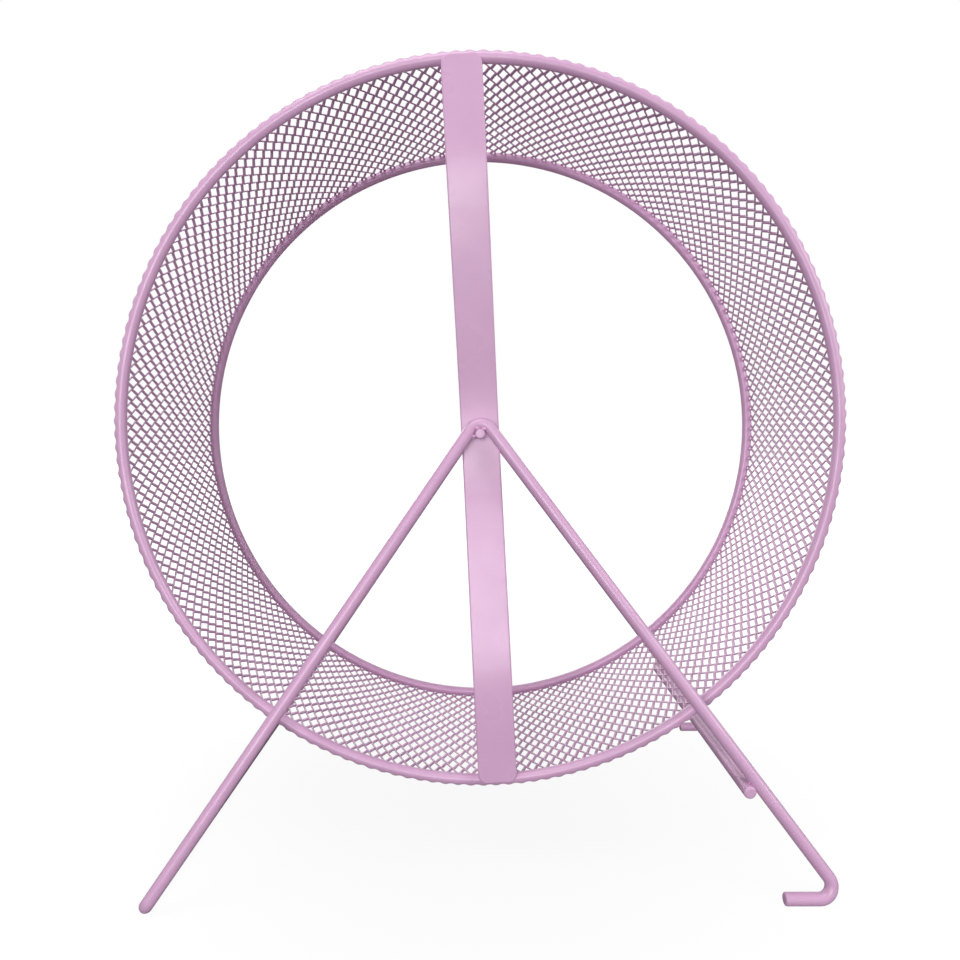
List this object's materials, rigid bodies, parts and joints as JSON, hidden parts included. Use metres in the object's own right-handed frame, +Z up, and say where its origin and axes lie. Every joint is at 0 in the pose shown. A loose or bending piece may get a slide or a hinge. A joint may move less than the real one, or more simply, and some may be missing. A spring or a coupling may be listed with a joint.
{
  "type": "hamster wheel",
  "caption": "Free-standing running wheel for a hamster: an open mesh drum on a bent wire stand, turning on a fixed axle.",
  "frame": {"origin": "on the floor under the middle of the wheel, at the bottom centre of the bounding box", "axes": "+Z up; +Y from the front of the wheel to its back, along the axle; +X to the right seen from the front"},
  "size_m": [0.2, 0.1282, 0.222],
  "materials": {
    "coat": "glossy pink-lilac powder coat on steel"
  },
  "bodies": {
    "stand": {"stand_frame": "coat", "brace": "coat", "axle": "coat", "axle_welds": "coat", "brace_welds": "coat"},
    "wheel": {"mesh_band": "coat", "front_ring": "coat", "rear_ring": "coat", "front_bar": "coat", "rear_bar": "coat"}
  },
  "joints": [
    {"name": "wheel_spin", "type": "hinge", "parent": "stand", "child": "wheel", "pos_m": [0, 0, 0.122], "axis": [0, 1, 0], "continuous": true}
  ]
}
